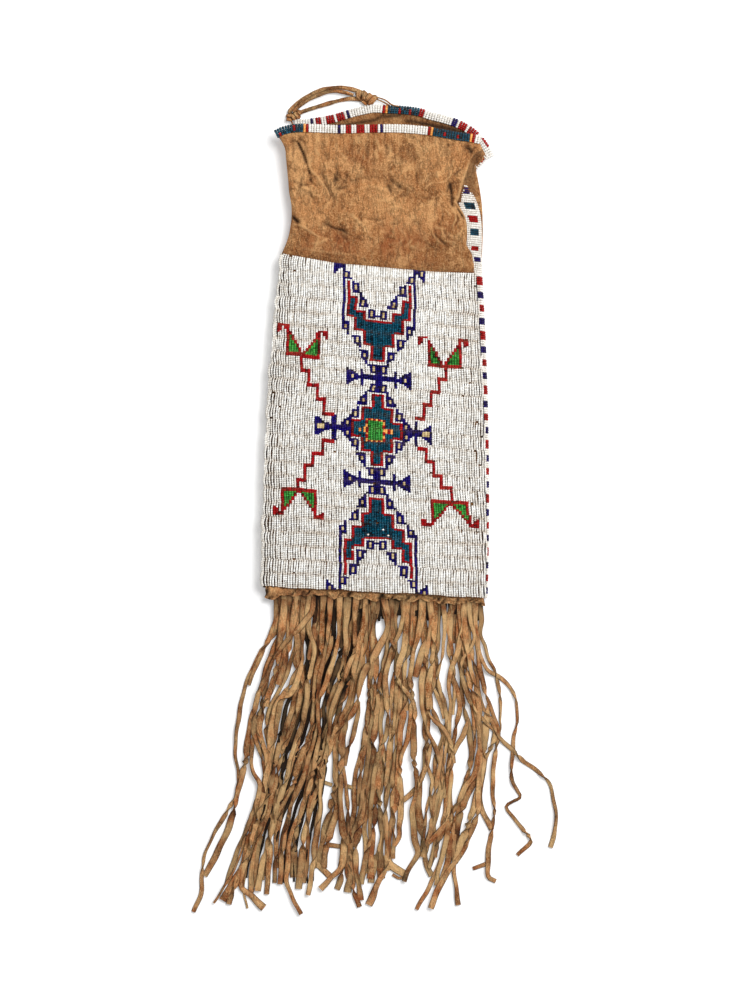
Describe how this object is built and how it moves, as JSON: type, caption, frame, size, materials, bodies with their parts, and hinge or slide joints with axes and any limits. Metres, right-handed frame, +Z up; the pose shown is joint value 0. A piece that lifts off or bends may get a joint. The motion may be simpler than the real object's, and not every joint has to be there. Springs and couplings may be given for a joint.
{
  "type": "beaded tobacco bag",
  "caption": "Long flat hide pouch lying on its back, with lane-stitched glass bead panels, a beaded open mouth, a cut hide fringe and a knotted tie.",
  "frame": {"origin": "middle of the back bead panel, on the flat crest of the lane that the bag rests on", "axes": "+Y runs from the fringe to the mouth, +X to the edged side seam, +Z up through the front bead panel"},
  "size_m": [0.273, 0.6179, 0.0182],
  "materials": {
    "white_beads": "opaque warm white glass seed beads, softly glossy",
    "navy_beads": "dark blue glass seed beads, glossy",
    "red_beads": "deep red glass seed beads, glossy",
    "teal_beads": "dark greenish blue glass seed beads, glossy",
    "green_beads": "mid green glass seed beads, glossy",
    "hide": "tanned hide, mottled and matt",
    "thong_hide": "cut hide thongs, matt"
  },
  "bodies": {
    "root": {"navy_motif": "navy_beads", "upper_fork_contour": "red_beads", "upper_fork_field": "teal_beads", "lower_fork_contour": "red_beads", "lower_fork_field": "teal_beads", "diamond_contour": "red_beads", "diamond_field": "teal_beads", "diamond_centre": "green_beads", "upper_left_wing": "red_beads", "upper_left_wing_outer_field": "green_beads", "upper_left_wing_inner_field": "green_beads", "upper_right_wing": "red_beads", "upper_right_wing_outer_field": "green_beads", "upper_right_wing_inner_field": "green_beads", "lower_left_wing": "red_beads", "lower_left_wing_outer_field": "green_beads", "lower_left_wing_inner_field": "green_beads", "lower_right_wing": "red_beads", "lower_right_wing_outer_field": "green_beads", "lower_right_wing_inner_field": "green_beads", "front_bead_panel": "white_beads", "back_bead_panel": "white_beads", "left_fold_beads": "white_beads", "right_seam_edging": "white_beads", "hide_bag": "hide", "front_lip_teal_left": "teal_beads", "front_lip_white_left": "white_beads", "front_lip_red": "red_beads", "front_lip_white_right": "white_beads", "front_lip_teal_right": "teal_beads", "front_lip_white_end": "white_beads", "back_lip_white_left": "white_beads", "back_lip_red_left": "red_beads", "back_lip_white_middle": "white_beads", "back_lip_teal": "teal_beads", "back_lip_white_right": "white_beads", "back_lip_red_right": "red_beads", "back_lip_white_end": "white_beads", "neck_seam_strip": "white_beads", "fringe": "thong_hide", "tie_outer_strand": "thong_hide", "tie_lower_strand": "thong_hide", "tie_knot": "thong_hide", "tie_wrap": "thong_hide"}
  },
  "joints": []
}
